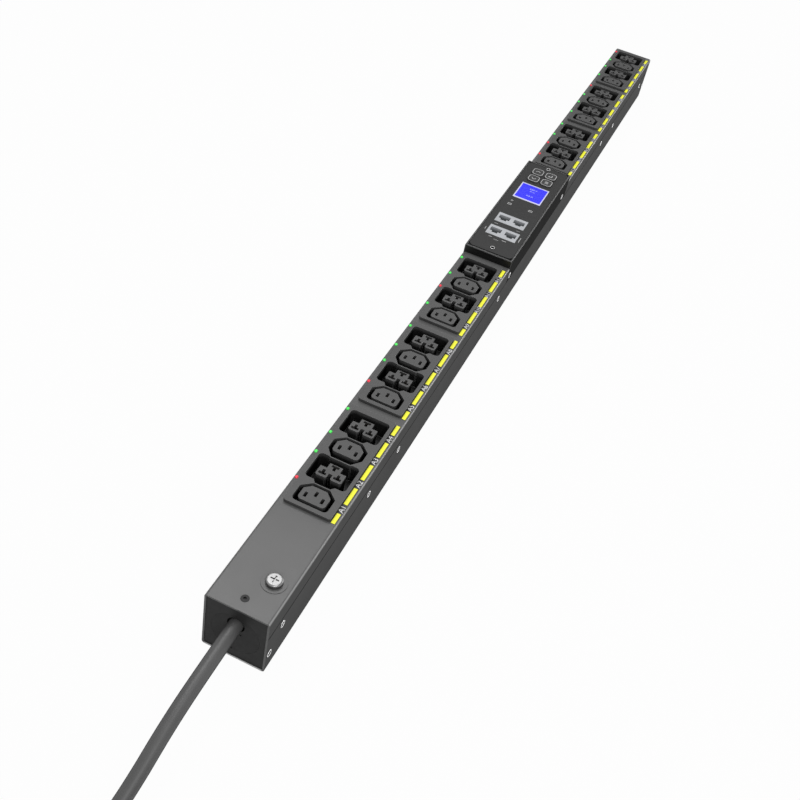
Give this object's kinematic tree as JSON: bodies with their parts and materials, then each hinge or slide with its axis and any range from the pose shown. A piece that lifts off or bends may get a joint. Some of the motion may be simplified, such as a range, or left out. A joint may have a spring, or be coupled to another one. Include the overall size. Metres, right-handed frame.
{
  "type": "rack power distribution unit",
  "caption": "Long slim rack power distribution unit with rows of mains outlets, a controller pod with a small display and keypad in the middle, and a heavy cord at one end",
  "frame": {"origin": "Middle of the back, which is the mounting face, halfway along the enclosure; the free cord, its coil and its plug are left out of the box.", "axes": "+Z points out of the outlet face, +Y runs from the cord end to the far end, and +X runs across from the indicator side to the label side."},
  "size_m": [0.1541, 1.3735, 0.0653],
  "materials": {
    "enclosure_paint": "satin",
    "end_paint": "satin",
    "black_plastic": "matte",
    "fascia_plastic": "matte",
    "frame_plastic": "satin",
    "jack_plastic": "satin",
    "key_plastic": "satin",
    "display_glass": "gloss",
    "circuit_board": "satin",
    "switch_plastic": "satin",
    "contact_brass": "satin",
    "busbar_brass": "satin",
    "green_light": "gloss",
    "red_light": "gloss",
    "label_film": "satin",
    "label_yellow": "satin",
    "screw_steel": "satin",
    "black_screw": "satin",
    "bright_steel": "polished",
    "zinc_steel": "satin",
    "cord_jacket": "matte",
    "line_insulation": "satin",
    "neutral_insulation": "satin",
    "earth_insulation": "satin",
    "plug_rubber": "matte",
    "pin_metal": "satin",
    "tie_plastic": "satin"
  },
  "bodies": {
    "housing": {"base_channel": "enclosure_paint", "near_cover": "enclosure_paint", "far_cover": "enclosure_paint", "cord_end_cap": "end_paint", "far_end_cap": "end_paint", "outlet_module_1": "black_plastic", "outlet_module_2": "black_plastic", "outlet_module_3": "black_plastic", "outlet_module_4": "black_plastic", "outlet_module_5": "black_plastic", "outlet_module_6": "black_plastic", "cable_entry_disc": "black_plastic", "controller_housing": "black_plastic", "busbar_carriers": "black_plastic", "terminal_block": "black_plastic", "clamp_saddle": "black_plastic", "controller_fascia": "fascia_plastic", "display_frame": "frame_plastic", "network_jacks_lower": "jack_plastic", "network_jacks_upper": "jack_plastic", "display_panel": "display_glass", "controller_board": "circuit_board", "near_outlet_board": "circuit_board", "far_outlet_board": "circuit_board", "key_switches": "switch_plastic", "contact_set_1": "contact_brass", "contact_set_2": "contact_brass", "contact_set_3": "contact_brass", "contact_set_4": "contact_brass", "contact_set_5": "contact_brass", "contact_set_6": "contact_brass", "line_busbar": "busbar_brass", "neutral_busbar": "busbar_brass", "earth_busbar": "busbar_brass", "green_light_pipes": "green_light", "red_light_pipes": "red_light", "label_strips": "label_film", "label_fields": "label_yellow", "side_screws": "screw_steel", "fascia_screws": "screw_steel", "top_screw": "black_screw", "earth_screw": "bright_steel", "earth_washer": "bright_steel", "earth_nut": "bright_steel", "mounting_nuts": "bright_steel", "controller_bracket": "zinc_steel", "clamp_bracket": "zinc_steel", "power_cord": "cord_jacket", "cord_coil": "cord_jacket", "cord_gland": "cord_jacket", "line_lead": "line_insulation", "neutral_lead": "neutral_insulation", "earth_lead": "earth_insulation", "plug_body": "plug_rubber", "plug_pins": "pin_metal", "coil_tie": "tie_plastic"},
    "up_button": {"key_up": "key_plastic"},
    "enter_button": {"key_enter": "key_plastic"},
    "down_button": {"key_down": "key_plastic"},
    "back_button": {"key_back": "key_plastic"}
  },
  "joints": [
    {"name": "press_up", "type": "slide", "parent": "housing", "child": "up_button", "axis": [0, 0, 1], "range_m": [-0.0008, 0], "stiffness_N_per_m": 600, "springref_m": 0.0005},
    {"name": "press_enter", "type": "slide", "parent": "housing", "child": "enter_button", "axis": [0, 0, 1], "range_m": [-0.0008, 0], "stiffness_N_per_m": 600, "springref_m": 0.0005},
    {"name": "press_down", "type": "slide", "parent": "housing", "child": "down_button", "axis": [0, 0, 1], "range_m": [-0.0008, 0], "stiffness_N_per_m": 600, "springref_m": 0.0005},
    {"name": "press_back", "type": "slide", "parent": "housing", "child": "back_button", "axis": [0, 0, 1], "range_m": [-0.0008, 0], "stiffness_N_per_m": 600, "springref_m": 0.0005}
  ]
}
